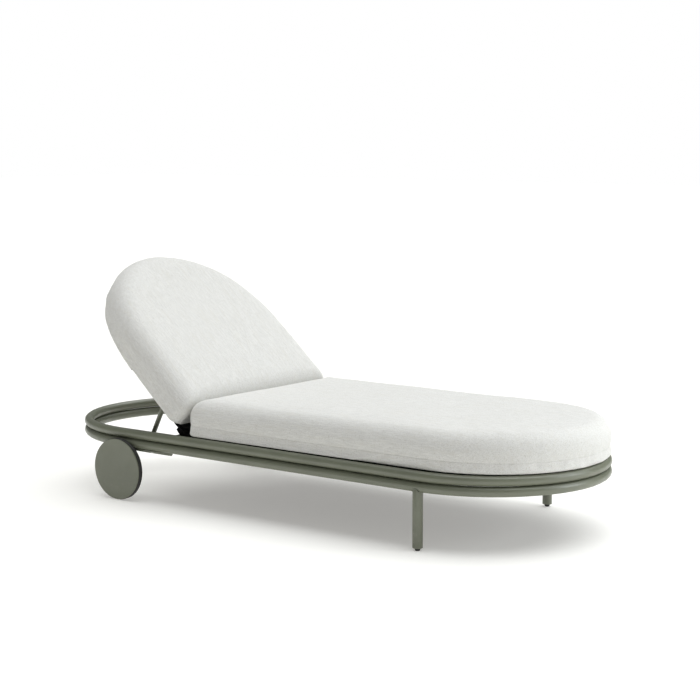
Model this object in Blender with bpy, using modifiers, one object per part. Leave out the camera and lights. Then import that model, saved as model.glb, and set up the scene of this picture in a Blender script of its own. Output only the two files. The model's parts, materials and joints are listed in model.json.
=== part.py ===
"""Reclining sun lounger: twin-rail tube frame, adjustable back, two wheels and two loose cushions.

Metres, +Z up, origin on the floor under the middle. +X is the foot end, +Y the sitter's left.
"""
import math

import bmesh
import bpy
from mathutils import Vector
from mathutils.geometry import convex_hull_2d

# ---------------------------------------------------------------- driving dimensions
GAP = 0.0003                 # daylight left between touching pieces

TUBE_R = 0.016               # rails and legs
RAIL_Y = 0.3785              # centreline half width, and radius of the round ends
RAIL_X = 0.615               # half length of the straight stretch
RAIL_UPPER_Z = 0.227
RAIL_LOWER_Z = RAIL_UPPER_Z - 2 * TUBE_R - GAP
RAIL_TOP_Z = RAIL_UPPER_Z + TUBE_R
RAIL_UNDERSIDE_Z = RAIL_LOWER_Z - TUBE_R

COPE_DEPTH = 0.004           # how far a bar's end runs in between the rails before it is coped

LEG_X = 0.618
LEG_FOOT_Z = 0.0085          # end of the tube, above the glide
LEG_EDGE = 0.001
GLIDE_TOP_R = 0.0105         # the glide tapers down to the floor
GLIDE_FOOT_R = 0.0075
GLIDE_EDGE = 0.001

PANEL_TUBE_R = 0.009         # hoops that carry the slings
PANEL_Y = 0.335              # their centreline half width and end radius
SLING_T = 0.0016
SLING_OVERHANG = 0.004       # past the hoop's centreline
BACK_HOOP_START = 0.030      # the back hoop's straight end, up from the pivot
HOOP_END_INSET = 0.006       # the seat hoop's straight end, back from the cushion joint
CUSHION_BASE_Z = RAIL_TOP_Z + 2 * GAP
SEAT_HOOP_Z = CUSHION_BASE_Z - 2 * GAP - SLING_T - PANEL_TUBE_R

CROSSBAR_R = 0.0115
CROSSBAR_Z = SEAT_HOOP_Z - PANEL_TUBE_R - GAP - CROSSBAR_R
HINGE_BAR_X = -0.385
HINGE_BAR_DROP = 0.003       # lets the back hoop lie flat above it
SEAT_BAR_XS = (-0.02, 0.31, 0.60)

BACK_ANGLE = math.radians(41.5)   # recline of the stored pose, above flat
PIVOT = Vector((-0.3464, 0.0, 0.227))
PIVOT_PIN_R = 0.005
PIN_HEAD_R = 0.0085
PIN_HEAD_EDGE = 0.001
HINGE_PIN_Y = (0.3385, 0.3438, 0.3598)    # head, shoulder and end, from the middle outwards
HINGE_BRACKET_Y = (0.3513, 0.3563)
HINGE_NUT_Y = (0.3567, 0.3612)
HINGE_WASHER_Y = (0.3496, 0.3510)
HINGE_WASHER_R = 0.0100
HINGE_BOSS_R = 0.0125        # round the pivot pin
HINGE_BAR_BOSS_R = 0.0165    # round the crossbar
LUG_BOSS_R = 0.0115
LUG_T = 0.005
LUG_TOP = 0.013              # above the pivot, along the hoop's tube
LUG_REACH = 0.048

CUSHION_JOINT_X = -0.321     # where the two cushions meet when the back is flat
SEAT_CUSHION_Y = 0.380
SEAT_CUSHION_T = 0.120
SEAT_CUSHION_END_X = RAIL_X + RAIL_Y + TUBE_R - 0.001
BACK_CUSHION_Y = 0.377
BACK_CUSHION_T = 0.118
BACK_CUSHION_LEN = 0.691
HOOD_WALL = 0.0025
HOOD_ROOM = 0.0015           # slack between the pocket and the hoop
HOOD_HEM = 0.012             # straight run below the round top
HOOD_EDGE = 0.004
CUSHION_SLIDE = 0.068        # how far the seat pushes the back cushion up its sling
CUSHION_JOINT_HALF = 0.002   # half the gap between them
SEAT_CORNER_R = 0.040        # plan radius of the corners at the joint
BACK_CORNER_R = 0.025
LEAST_CORNER_R = 0.003
CUSHION_STEPS = 28           # segments in each round end
SEAT_UNDER_EDGE_R = 0.020
BACK_UNDER_EDGE_R = 0.016
TOP_EDGE_R = 0.055

STAY_R = 0.008
STAY_Y = 0.311
STAY_PIVOT_U = 0.1642        # along the back from its pivot
STAY_PIVOT_N = -0.004        # behind the back's plane through the pivot
STAY_PIN_R = 0.004
STAY_PIN_Y = (0.2996, 0.3026, 0.3254)     # head, shoulder and end
STAY_PIN_HEAD_R = 0.0070
STAY_END = 0.0095            # arm past its pin and past its rod
STAY_EDGE = 0.0025
STAY_LUG_T = 0.004
STAY_LUG_BOSS_R = 0.0085
STAY_LUG_HALF = 0.018
STAY_LUG_Z = (0.006, 0.011)
STAY_ROD_R = 0.005
STAY_ROD_HALF = 0.351        # half its length
STAY_ROD_AT = Vector((-0.5443, 0.0, 0.190))
STAY_COLLAR_R = 0.0085
STAY_COLLAR_Y = (0.3380, 0.3440)

RACK_Y = (0.345, 0.349)
RACK_X = (-0.690, -0.408)
RACK_BASE_Z = 0.162
RACK_CORNER = 0.004
RACK_CLEAR = 0.001           # between the rod and the notches
RACK_STOPS = (0.0, 14.0, 24.0, 33.0, 41.5, 50.0)   # back angles with a notch, degrees
RACK_TOP_ANGLE = 56.0        # the rod's path is followed from flat to here
NOTCH_DEPTH = 0.0045
NOTCH_HALF = 0.008
RACK_MOUNT_T = 0.004
RACK_MOUNT_TOP = RAIL_UNDERSIDE_Z - GAP
RACK_MOUNT_BASE = RACK_MOUNT_TOP - RACK_MOUNT_T
RACK_MOUNT_OUTER_Y = 0.386
RACK_MOUNT_INSET = 0.010     # shorter than the rack at each end
RACK_MOUNT_CORNER = 0.012
RACK_BOLT_XS = {"front": -0.47, "rear": -0.665}
RACK_BOLT_Y = 0.3775
RACK_BOLT_R = 0.003
RACK_BOLT_HEAD_R = 0.006
RACK_BOLT_HEAD_H = 0.003

WHEEL_R = 0.105
WHEEL_X = -0.6035
WHEEL_INNER_Y = 0.3957
WHEEL_OUTER_Y = 0.416
WHEEL_FACE_R = WHEEL_R - 0.0012
WHEEL_FACE_Y = 0.4125        # back of the painted face
WHEEL_FACE_EDGE = 0.0012
TYRE_BORE_R = 0.0883
TYRE_OUTER_Y = 0.4122
CORE_Y = (0.3990, 0.4110)    # web of the core
CORE_HUB_R = 0.0180
CORE_RECESS_R = 0.0140       # clears the retaining clip
CORE_RECESS_Y = 0.4081
BUSH_R = 0.0092
BUSH_Y = (0.3961, 0.4080)
CLIP_R = 0.0090
CLIP_Y = (0.4084, 0.4096)

AXLE_R = 0.006
AXLE_COLLAR_R = 0.011
AXLE_Y = (0.3635, 0.3773, 0.3949, 0.4100)   # threaded end, collar, shoulder and clip end
AXLE_NUT_Y = (0.3660, 0.3717)
AXLE_NUT_R = 0.0105
WHEEL_BRACKET_Y = (0.372, 0.377)
WHEEL_BRACKET_BOSS_R = 0.019
WHEEL_BRACKET_HALF = 0.034
WHEEL_BRACKET_SHOULDER = 0.02

SIDES = (("left", 1), ("right", -1))

# ---------------------------------------------------------------- scene and materials
for old in list(bpy.data.objects):
    bpy.data.objects.remove(old, do_unlink=True)

scene_root = bpy.context.scene.collection
parts = bpy.data.collections.new("sun_lounger")
cutters = bpy.data.collections.new("sun_lounger_cutters")
scene_root.children.link(parts)
scene_root.children.link(cutters)


def make_material(name, colour, roughness, metallic=0.0):
    mat = bpy.data.materials.new(name)
    mat.use_nodes = True
    shader = mat.node_tree.nodes["Principled BSDF"]
    shader.inputs["Base Color"].default_value = (*colour, 1.0)
    shader.inputs["Roughness"].default_value = roughness
    shader.inputs["Metallic"].default_value = metallic
    mat.diffuse_color = (*colour, 1.0)
    return mat


PAINT = make_material("sage_paint", (0.17, 0.18, 0.13), 0.45)
BLACK_PAINT = make_material("black_paint", (0.012, 0.012, 0.012), 0.5)
FABRIC = make_material("cushion_fabric", (0.78, 0.77, 0.74), 0.9)
SLING = make_material("black_sling", (0.01, 0.01, 0.01), 0.8)
RUBBER = make_material("tyre_rubber", (0.03, 0.03, 0.028), 0.8)
NYLON = make_material("nylon", (0.02, 0.02, 0.02), 0.55)
STEEL = make_material("stainless", (0.6, 0.6, 0.6), 0.3, 1.0)


def in_back(u, n):
    """Point of the back in its own axes: u up the back from its pivot, n out of its front."""
    return Vector((-u, 0.0, n))


def add_empty(name, location, parent=None, tilt=0.0):
    empty = bpy.data.objects.new(name, None)
    empty.location = location
    empty.rotation_euler = (0.0, tilt, 0.0)
    empty.parent = parent
    parts.objects.link(empty)
    return empty


def add_object(name, data, mat, parent=None, location=(0, 0, 0), rotation=(0, 0, 0)):
    obj = bpy.data.objects.new(name, data)
    if mat.name not in [m.name for m in data.materials if m]:
        data.materials.append(mat)
    obj.location = location
    obj.rotation_euler = rotation
    obj.parent = parent
    parts.objects.link(obj)
    return obj


def shade(mesh, angle=40.0):
    mesh.shade_smooth()
    mesh.set_sharp_from_angle(angle=math.radians(angle))


# ---------------------------------------------------------------- shape helpers
def arc(cx, cy, radius, start, end, steps):
    """Points on a circle from one angle to another, in degrees, ends included."""
    points = []
    for i in range(steps + 1):
        a = math.radians(start + (end - start) * i / steps)
        points.append((cx + radius * math.cos(a), cy + radius * math.sin(a)))
    return points


def stadium(half_length, radius, steps=26):
    """Outline of a straight-sided loop with two round ends."""
    foot = arc(half_length, 0.0, radius, -90, 90, steps)
    head = arc(-half_length, 0.0, radius, 90, 270, steps)
    return foot + head


def d_loop(flat_x, centre_x, radius, corner=0.03, steps=22):
    """Loop with a straight end at flat_x and a round end about centre_x."""
    way = 1 if centre_x > flat_x else -1
    near = arc(corner, corner - radius, corner, 180, 270, 4)
    bend = arc(abs(centre_x - flat_x), 0.0, radius, -90, 90, steps)
    far = [(x, -y) for x, y in reversed(near)]
    return [(flat_x + way * x, y) for x, y in near + bend + far]


def rounded_rectangle(x0, x1, half_width, corner):
    outline = []
    for i, (x, y) in enumerate(((x1 - corner, half_width - corner), (x0 + corner, half_width - corner),
                                (x0 + corner, corner - half_width), (x1 - corner, corner - half_width))):
        outline += arc(x, y, corner, 90 * i, 90 * i + 90, 4)
    return outline


def spline_curve(name, outlines, dimensions="3D"):
    """A poly curve with one closed spline for each outline."""
    curve = bpy.data.curves.new(name, "CURVE")
    curve.dimensions = dimensions
    for outline in outlines:
        spline = curve.splines.new("POLY")
        spline.points.add(len(outline) - 1)
        for point, (x, y) in zip(spline.points, outline):
            point.co = (x, y, 0.0, 1.0)
        spline.use_cyclic_u = True
    return curve


def evaluated_mesh(obj, name):
    """The object's mesh as evaluated, with loose seams welded."""
    bpy.context.view_layer.update()
    depsgraph = bpy.context.evaluated_depsgraph_get()
    mesh = bpy.data.meshes.new_from_object(obj.evaluated_get(depsgraph))
    mesh.name = name
    bm = bmesh.new()
    bm.from_mesh(mesh)
    bmesh.ops.remove_doubles(bm, verts=bm.verts, dist=0.00005)
    bmesh.ops.recalc_face_normals(bm, faces=bm.faces)
    bm.to_mesh(mesh)
    bm.free()
    return mesh


def curve_to_mesh_object(name, curve, mat, parent=None, location=(0, 0, 0), rotation=(0, 0, 0)):
    """Make the curve's solid a mesh object in its place."""
    guide = bpy.data.objects.new(name + "_curve", curve)
    cutters.objects.link(guide)
    mesh = evaluated_mesh(guide, name)
    bpy.data.objects.remove(guide, do_unlink=True)
    shade(mesh)
    return add_object(name, mesh, mat, parent, location, rotation)


def loop_tube(name, outline, radius, mat, parent=None, location=(0, 0, 0), sides=4):
    """Closed loop of round tube along the outline, lying in XY."""
    curve = spline_curve(name, [outline])
    curve.bevel_depth = radius
    curve.bevel_resolution = sides
    return curve_to_mesh_object(name, curve, mat, parent, location)


def slab(name, outlines, thickness, mat, parent=None, location=(0, 0, 0), rotation=(0, 0, 0)):
    """Flat plate with the first outline as its edge and the others as holes."""
    curve = spline_curve(name, outlines, "2D")
    curve.fill_mode = "BOTH"
    curve.extrude = thickness / 2
    return curve_to_mesh_object(name, curve, mat, parent, location, rotation)


def upright_plate(name, outlines, y_span, side, mat, parent=None, origin=(0.0, 0.0)):
    """Plate standing in XZ between two distances from the middle, outlines given as (x, z)."""
    y_mid = side * (y_span[0] + y_span[1]) / 2
    return slab(name, outlines, y_span[1] - y_span[0], mat, parent,
                (origin[0], y_mid, origin[1]), (math.radians(90), 0, 0))


def ring_outline(cx, cz, radius, steps=16):
    return arc(cx, cz, radius, 0, 360 * (steps - 1) / steps, steps - 1)


def hex_nut(name, at, corner_radius, bore, y_span, side, mat=STEEL):
    """Hexagon nut on a pin that lies along Y."""
    edge = ring_outline(*at, corner_radius, steps=6)
    hole = ring_outline(*at, bore + GAP)
    return upright_plate(name, [edge, hole], y_span, side, mat)


def hull_outline(points):
    """Convex outline round the given points."""
    return [points[i] for i in convex_hull_2d(points)]


def rod(name, start, end, radius, mat, parent=None, sides=24):
    """Solid round bar between two points."""
    start, end = Vector(start), Vector(end)
    bm = bmesh.new()
    bmesh.ops.create_cone(bm, cap_ends=True, segments=sides, radius1=radius, radius2=radius,
                          depth=(end - start).length)
    mesh = bpy.data.meshes.new(name)
    bm.to_mesh(mesh)
    bm.free()
    shade(mesh)
    turn = (end - start).to_track_quat("Z", "Y").to_euler()
    return add_object(name, mesh, mat, parent, (start + end) / 2, turn)


def add_bevel(obj, width, segments):
    mod = obj.modifiers.new("edge", "BEVEL")
    mod.width = width
    mod.segments = segments
    mod.limit_method = "ANGLE"
    mod.angle_limit = math.radians(50)


def turned(name, profile, mat, parent=None, location=(0, 0, 0), side=0, steps=16, closed=False):
    """Turn a profile of (radius, height) points; side +1 or -1 lays the axis along +Y or -Y."""
    mesh = bpy.data.meshes.new(name)
    edges = [(i, i + 1) for i in range(len(profile) - 1)]
    if closed:
        edges.append((len(profile) - 1, 0))
    mesh.from_pydata([(r, 0.0, h) for r, h in profile], edges, [])
    obj = add_object(name, mesh, mat, parent, location, (-side * math.radians(90), 0, 0))
    mod = obj.modifiers.new("turn", "SCREW")
    mod.axis = "Z"
    mod.steps = steps
    mod.render_steps = steps
    mod.use_merge_vertices = True
    mod.merge_threshold = 0.00005
    return obj


def cut(obj, cutter):
    """Subtract a hidden cutter from the object."""
    mod = obj.modifiers.new("cut", "BOOLEAN")
    mod.operation = "DIFFERENCE"
    mod.solver = "EXACT"
    mod.object = cutter


def as_cutter(obj):
    """Move an object out of the model, to be used only for cutting."""
    parts.objects.unlink(obj)
    cutters.objects.link(obj)
    obj.hide_render = True
    obj.display_type = "WIRE"
    return obj


def bore_cutter(name, start, end, radius, parent=None):
    return as_cutter(rod(name, start, end, radius, PAINT, parent, sides=20))


# ---------------------------------------------------------------- fixed frame
def make_rails():
    outline = stadium(RAIL_X, RAIL_Y)
    loop_tube("rail_upper", outline, TUBE_R, PAINT, location=(0, 0, RAIL_UPPER_Z), sides=6)
    loop_tube("rail_lower", outline, TUBE_R, PAINT, location=(0, 0, RAIL_LOWER_Z), sides=6)
    copes = []
    for level, z in (("upper", RAIL_UPPER_Z), ("lower", RAIL_LOWER_Z)):
        cope = loop_tube("cope_" + level, outline, TUBE_R + GAP, PAINT, location=(0, 0, z), sides=6)
        copes.append(as_cutter(cope))
    return copes


def make_leg(label, side, cope):
    y = side * RAIL_Y
    leg = rod("leg_" + label, (LEG_X, y, LEG_FOOT_Z), (LEG_X, y, RAIL_LOWER_Z - COPE_DEPTH),
              TUBE_R, PAINT, sides=28)
    add_bevel(leg, LEG_EDGE, 2)
    cut(leg, cope)
    top = LEG_FOOT_Z - GAP
    profile = [(0.0, top), (GLIDE_TOP_R, top), (GLIDE_FOOT_R, GLIDE_EDGE),
               (GLIDE_FOOT_R - GLIDE_EDGE, 0.0), (0.0, 0.0)]
    turned("glide_" + label, profile, NYLON, location=(LEG_X, y, 0))


def make_crossbar(name, x, z, copes, mat=PAINT):
    reach = RAIL_Y - COPE_DEPTH
    bar = rod(name, (x, -reach, z), (x, reach, z), CROSSBAR_R, mat)
    for cope in copes:
        cut(bar, cope)


def make_seat_base(copes):
    make_crossbar("crossbar_hinge", HINGE_BAR_X, CROSSBAR_Z - HINGE_BAR_DROP, copes, BLACK_PAINT)
    for name, x in zip(("crossbar_head", "crossbar_middle", "crossbar_foot"), SEAT_BAR_XS):
        make_crossbar(name, x, CROSSBAR_Z, copes)
    hoop_end = CUSHION_JOINT_X + HOOP_END_INSET
    loop_tube("seat_hoop", d_loop(hoop_end, RAIL_X, PANEL_Y), PANEL_TUBE_R, BLACK_PAINT,
              location=(0, 0, SEAT_HOOP_Z))
    sling_z = SEAT_HOOP_Z + PANEL_TUBE_R + GAP + SLING_T / 2
    slab("seat_sling", [d_loop(hoop_end, RAIL_X, PANEL_Y + SLING_OVERHANG)], SLING_T, SLING,
         location=(0, 0, sling_z))


def make_hinge(label, side):
    """Bracket threaded on the hinge crossbar, with the pin that the back turns on."""
    bar = (HINGE_BAR_X, CROSSBAR_Z - HINGE_BAR_DROP)
    pivot = (PIVOT.x, PIVOT.z)
    edge = hull_outline(ring_outline(*pivot, HINGE_BOSS_R) + ring_outline(*bar, HINGE_BAR_BOSS_R))
    holes = [ring_outline(*pivot, PIVOT_PIN_R + GAP),
             ring_outline(*bar, CROSSBAR_R + GAP, steps=24)]
    upright_plate("hinge_bracket_" + label, [edge] + holes, HINGE_BRACKET_Y, side, BLACK_PAINT)
    turned("hinge_pin_" + label, pin_profile(HINGE_PIN_Y, PIVOT_PIN_R, PIN_HEAD_R), BLACK_PAINT,
           location=(PIVOT.x, 0, PIVOT.z), side=side)
    hex_nut("hinge_nut_" + label, pivot, PIN_HEAD_R, PIVOT_PIN_R, HINGE_NUT_Y, side, BLACK_PAINT)


def pin_profile(stations, radius, head_r):
    """Profile of a headed pin from its head, shoulder and end heights."""
    head, shoulder, end = stations
    return [(0.0, end), (radius, end), (radius, shoulder), (head_r, shoulder),
            (head_r, head + PIN_HEAD_EDGE), (head_r - PIN_HEAD_EDGE, head), (0.0, head)]


def ring_profile(outer, bore, span):
    """Profile of a plain ring between two heights."""
    return [(outer, span[1]), (outer, span[0]), (bore, span[0]), (bore, span[1])]


# ---------------------------------------------------------------- stay geometry
def back_point(angle, u, n):
    """World XZ place of a point of the back at a recline angle above flat."""
    return Vector((PIVOT.x - u * math.cos(angle) + n * math.sin(angle), 0.0,
                   PIVOT.z + u * math.sin(angle) + n * math.cos(angle)))


STAY_TOP = back_point(BACK_ANGLE, STAY_PIVOT_U, STAY_PIVOT_N)
STAY_SPAN = (STAY_TOP - STAY_ROD_AT).length
STAY_ANGLE = math.atan2(STAY_TOP.z - STAY_ROD_AT.z, STAY_TOP.x - STAY_ROD_AT.x)
STAY_FLAT_ANGLE = math.asin((PIVOT.z + STAY_PIVOT_N - STAY_ROD_AT.z) / STAY_SPAN)
STAY_RATE = (STAY_ANGLE - STAY_FLAT_ANGLE) / BACK_ANGLE   # stay swing for each unit of recline


def rod_place(angle):
    """Where the stay's foot rod is when the back stands at an angle above flat."""
    top = back_point(angle, STAY_PIVOT_U, STAY_PIVOT_N)
    swing = STAY_ANGLE + STAY_RATE * (angle - BACK_ANGLE)
    return top - STAY_SPAN * Vector((math.cos(swing), 0.0, math.sin(swing)))


def rack_outline():
    """Strip whose upper edge follows the foot rod's path, with a shallow notch at each stop."""
    stops = [rod_place(math.radians(stop)).x for stop in RACK_STOPS]
    samples = 72
    top = []
    for i in range(samples + 1):
        place = rod_place(math.radians(RACK_TOP_ANGLE * i / samples))
        z = place.z - STAY_ROD_R - RACK_CLEAR
        for stop in stops:
            z -= NOTCH_DEPTH * max(0.0, 1 - ((place.x - stop) / NOTCH_HALF) ** 2)
        top.append((place.x, z))
    top = [(RACK_X[0], top[0][1] + NOTCH_DEPTH)] + top
    top = [point for point in top if point[0] <= RACK_X[1]]
    base = [(RACK_X[1], RACK_BASE_Z + RACK_CORNER), (RACK_X[1] - RACK_CORNER, RACK_BASE_Z),
            (RACK_X[0] + RACK_CORNER, RACK_BASE_Z), (RACK_X[0], RACK_BASE_Z + RACK_CORNER)]
    return top + [(RACK_X[1], top[-1][1])] + base


def make_rack(label, side):
    """Notched rack inside the lower rail, on a foot bolted up under the rail."""
    upright_plate("rack_plate_" + label, [rack_outline()], RACK_Y, side, PAINT)
    inner = RACK_Y[1] + GAP
    mid_y = side * (inner + RACK_MOUNT_OUTER_Y) / 2
    half = (RACK_MOUNT_OUTER_Y - inner) / 2
    x0, x1 = RACK_X[0] + RACK_MOUNT_INSET, RACK_X[1] - RACK_MOUNT_INSET
    edge = rounded_rectangle(x0, x1, half, RACK_MOUNT_CORNER)
    holes = [ring_outline(x, side * RACK_BOLT_Y - mid_y, RACK_BOLT_R + GAP, steps=12)
             for x in RACK_BOLT_XS.values()]
    slab("rack_mount_" + label, [edge] + holes, RACK_MOUNT_T, PAINT,
         location=(0, mid_y, (RACK_MOUNT_TOP + RACK_MOUNT_BASE) / 2))
    head = RACK_MOUNT_BASE - GAP
    stations = (head - RACK_BOLT_HEAD_H, head, RACK_MOUNT_TOP)
    for place, x in RACK_BOLT_XS.items():
        turned("rack_bolt_%s_%s" % (place, label),
               pin_profile(stations, RACK_BOLT_R, RACK_BOLT_HEAD_R), STEEL,
               location=(x, side * RACK_BOLT_Y, 0), steps=12)


# ---------------------------------------------------------------- wheels
def make_axle(label, side):
    """Bracket under the rack's foot, with the stub axle, its nut and the wheel's clip."""
    top = RACK_MOUNT_BASE - GAP
    shoulder = [(WHEEL_X + x, z) for x in (-WHEEL_BRACKET_HALF, WHEEL_BRACKET_HALF)
                for z in (top, top - WHEEL_BRACKET_SHOULDER)]
    edge = hull_outline(ring_outline(WHEEL_X, WHEEL_R, WHEEL_BRACKET_BOSS_R) + shoulder)
    hole = ring_outline(WHEEL_X, WHEEL_R, AXLE_R + GAP)
    upright_plate("wheel_bracket_" + label, [edge, hole], WHEEL_BRACKET_Y, side, PAINT)

    inner, collar, step, outer = AXLE_Y
    axle = [(0.0, outer), (AXLE_R, outer), (AXLE_R, step), (AXLE_COLLAR_R, step),
            (AXLE_COLLAR_R, collar), (AXLE_R, collar), (AXLE_R, inner), (0.0, inner)]
    at = (WHEEL_X, 0, WHEEL_R)
    turned("axle_" + label, axle, STEEL, location=at, side=side)
    hex_nut("axle_nut_" + label, (WHEEL_X, WHEEL_R), AXLE_NUT_R, AXLE_R, AXLE_NUT_Y, side)
    turned("axle_clip_" + label, ring_profile(CLIP_R, AXLE_R + GAP, CLIP_Y), STEEL,
           location=at, side=side, closed=True)


def make_wheel(label, side):
    """Moulded core in a rubber tyre, a painted disc over its outer face and a bush."""
    at = (WHEEL_X, 0, WHEEL_R)
    turned("wheel_bush_" + label, ring_profile(BUSH_R, AXLE_R + GAP, BUSH_Y), NYLON,
           location=at, side=side, closed=True)

    rim, bore = TYRE_BORE_R - GAP, BUSH_R + GAP
    core = [(rim, CORE_Y[1]), (rim, CORE_Y[0]), (CORE_HUB_R, CORE_Y[0]),
            (CORE_HUB_R, WHEEL_INNER_Y), (bore, WHEEL_INNER_Y), (bore, CORE_RECESS_Y),
            (CORE_RECESS_R, CORE_RECESS_Y), (CORE_RECESS_R, CORE_Y[1])]
    turned("wheel_core_" + label, core, NYLON, location=at, side=side, steps=32, closed=True)

    tyre = [(WHEEL_R - 0.0015, TYRE_OUTER_Y), (WHEEL_R, TYRE_OUTER_Y - 0.0015),
            (WHEEL_R, WHEEL_INNER_Y + 0.002), (WHEEL_R - 0.002, WHEEL_INNER_Y),
            (TYRE_BORE_R, WHEEL_INNER_Y), (TYRE_BORE_R, TYRE_OUTER_Y)]
    turned("wheel_tyre_" + label, tyre, RUBBER, location=at, side=side, steps=48, closed=True)

    face = [(0.0, WHEEL_OUTER_Y), (WHEEL_FACE_R - WHEEL_FACE_EDGE, WHEEL_OUTER_Y),
            (WHEEL_FACE_R, WHEEL_OUTER_Y - WHEEL_FACE_EDGE), (WHEEL_FACE_R, WHEEL_FACE_Y),
            (0.0, WHEEL_FACE_Y)]
    turned("wheel_cover_" + label, face, PAINT, location=at, side=side, steps=48)


# ---------------------------------------------------------------- adjustable back
def make_back(back):
    """Hoop and sling of the back; its own axes have the pivot as origin and u along -X."""
    hoop_n = SEAT_HOOP_Z - PIVOT.z
    hoop_end, bend = -BACK_HOOP_START, -(RAIL_X + PIVOT.x)
    loop_tube("back_hoop", d_loop(hoop_end, bend, PANEL_Y), PANEL_TUBE_R, BLACK_PAINT, back,
              (0, 0, hoop_n))
    sling_n = hoop_n + PANEL_TUBE_R + GAP + SLING_T / 2
    slab("back_sling", [d_loop(hoop_end, bend, PANEL_Y + SLING_OVERHANG)], SLING_T, SLING, back,
         (0, 0, sling_n))


def make_back_fittings(label, side, back):
    """Lugs on the hoop's side tube: the outer one turns on the pivot pin, the inner holds the stay."""
    outer = PANEL_Y + PANEL_TUBE_R + GAP
    reach = [(-LUG_REACH, -0.004), (-LUG_REACH, LUG_TOP - 0.002), (-LUG_REACH + 0.008, LUG_TOP),
             (-0.004, LUG_TOP)]
    edge = hull_outline(ring_outline(0, 0, LUG_BOSS_R) + reach)
    hole = ring_outline(0, 0, PIVOT_PIN_R + GAP)
    upright_plate("hinge_lug_" + label, [edge, hole], (outer, outer + LUG_T), side, BLACK_PAINT,
                  back)
    turned("hinge_washer_" + label,
           ring_profile(HINGE_WASHER_R, PIVOT_PIN_R + GAP, HINGE_WASHER_Y), NYLON, back,
           side=side, closed=True)

    inner = PANEL_Y - PANEL_TUBE_R - GAP
    x, z = -STAY_PIVOT_U, STAY_PIVOT_N
    foot = [(x + dx, dz) for dx in (-STAY_LUG_HALF, STAY_LUG_HALF) for dz in STAY_LUG_Z]
    edge = hull_outline(ring_outline(x, z, STAY_LUG_BOSS_R) + foot)
    hole = ring_outline(x, z, STAY_PIN_R + GAP)
    upright_plate("stay_lug_" + label, [edge, hole], (inner - STAY_LUG_T, inner), side,
                  BLACK_PAINT, back)


def make_stay_arm(label, side, stay, rod_at, rod_bore):
    """One arm of the prop, its pivot pin and the collar that keeps its rod centred on the rack."""
    along = rod_at.normalized()
    y = Vector((0, side * STAY_Y, 0))
    arm = rod("stay_arm_" + label, y - along * STAY_END, y + rod_at + along * STAY_END, STAY_R,
              PAINT, stay, sides=16)
    add_bevel(arm, STAY_EDGE, 1)
    cut(arm, rod_bore)
    pin_bore = bore_cutter("pin_bore_" + label, y * 0.9, y * 1.1, STAY_PIN_R + GAP, stay)
    cut(arm, pin_bore)
    turned("stay_pin_" + label, pin_profile(STAY_PIN_Y, STAY_PIN_R, STAY_PIN_HEAD_R), STEEL, stay,
           side=side)
    turned("stay_collar_" + label, ring_profile(STAY_COLLAR_R, STAY_ROD_R + GAP, STAY_COLLAR_Y),
           NYLON, stay, rod_at, side, closed=True)


def make_stay(back):
    """Prop frame hinged behind the back, built in world directions about its top pivot."""
    stay = add_empty("stay_pivot", in_back(STAY_PIVOT_U, STAY_PIVOT_N), back, -BACK_ANGLE)
    rod_at = STAY_ROD_AT - STAY_TOP
    ends = [rod_at + Vector((0, y, 0)) for y in (-STAY_ROD_HALF, STAY_ROD_HALF)]
    rod("stay_rod", *ends, STAY_ROD_R, PAINT, stay, sides=20)
    rod_bore = bore_cutter("rod_bore", *ends, STAY_ROD_R + GAP, stay)
    for label, side in SIDES:
        make_stay_arm(label, side, stay, rod_at, rod_bore)


# ---------------------------------------------------------------- cushions
def edge_section(thickness, under):
    """(inset, height) up a pad's edge: tight underneath, full and round on top."""
    section = [(under * (1 - math.sin(a)), under * (1 - math.cos(a)))
               for a in (math.radians(22.5 * i) for i in range(5))]
    section += [(TOP_EDGE_R * (1 - math.cos(a)), thickness - TOP_EDGE_R * (1 - math.sin(a)))
                for a in (math.radians(15.0 * i) for i in range(7))]
    return section


def make_cushion(name, flat_x, centre_x, radius, section, corner, parent, location):
    """Closed pad lofted up its edge section, straight at flat_x and round about centre_x."""
    way = 1 if centre_x > flat_x else -1
    bm = bmesh.new()
    rings = []
    for inset, z in section:
        outline = d_loop(flat_x + way * inset, centre_x, radius - inset,
                         max(corner - inset, LEAST_CORNER_R), CUSHION_STEPS)
        rings.append([bm.verts.new((x, y, z)) for x, y in outline])
    count = len(rings[0])
    for low, high in zip(rings, rings[1:]):
        for i in range(count):
            j = (i + 1) % count
            bm.faces.new((low[i], low[j], high[j], high[i]))
    bm.faces.new(rings[0])
    bm.faces.new(rings[-1])
    bmesh.ops.recalc_face_normals(bm, faces=bm.faces)
    mesh = bpy.data.meshes.new(name)
    bm.to_mesh(mesh)
    bm.free()
    shade(mesh)
    add_object(name, mesh, FABRIC, parent, location)


def make_seat_cushion():
    make_cushion("seat_cushion", CUSHION_JOINT_X + CUSHION_JOINT_HALF,
                 SEAT_CUSHION_END_X - SEAT_CUSHION_Y, SEAT_CUSHION_Y,
                 edge_section(SEAT_CUSHION_T, SEAT_UNDER_EDGE_R), SEAT_CORNER_R, None,
                 (0, 0, CUSHION_BASE_Z))


def make_back_cushion(slide):
    start = CUSHION_JOINT_X - CUSHION_JOINT_HALF - PIVOT.x
    centre_x = start - BACK_CUSHION_LEN + BACK_CUSHION_Y
    make_cushion("back_cushion", start, centre_x, BACK_CUSHION_Y,
                 edge_section(BACK_CUSHION_T, BACK_UNDER_EDGE_R), BACK_CORNER_R, slide,
                 (0, 0, CUSHION_BASE_Z - PIVOT.z))


def hood_outline(hem_x, centre_x, radius):
    """Half disc with a short straight run down to its hem."""
    return [(hem_x, radius)] + arc(centre_x, 0.0, radius, 90, 270, 28) + [(hem_x, -radius)]


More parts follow.
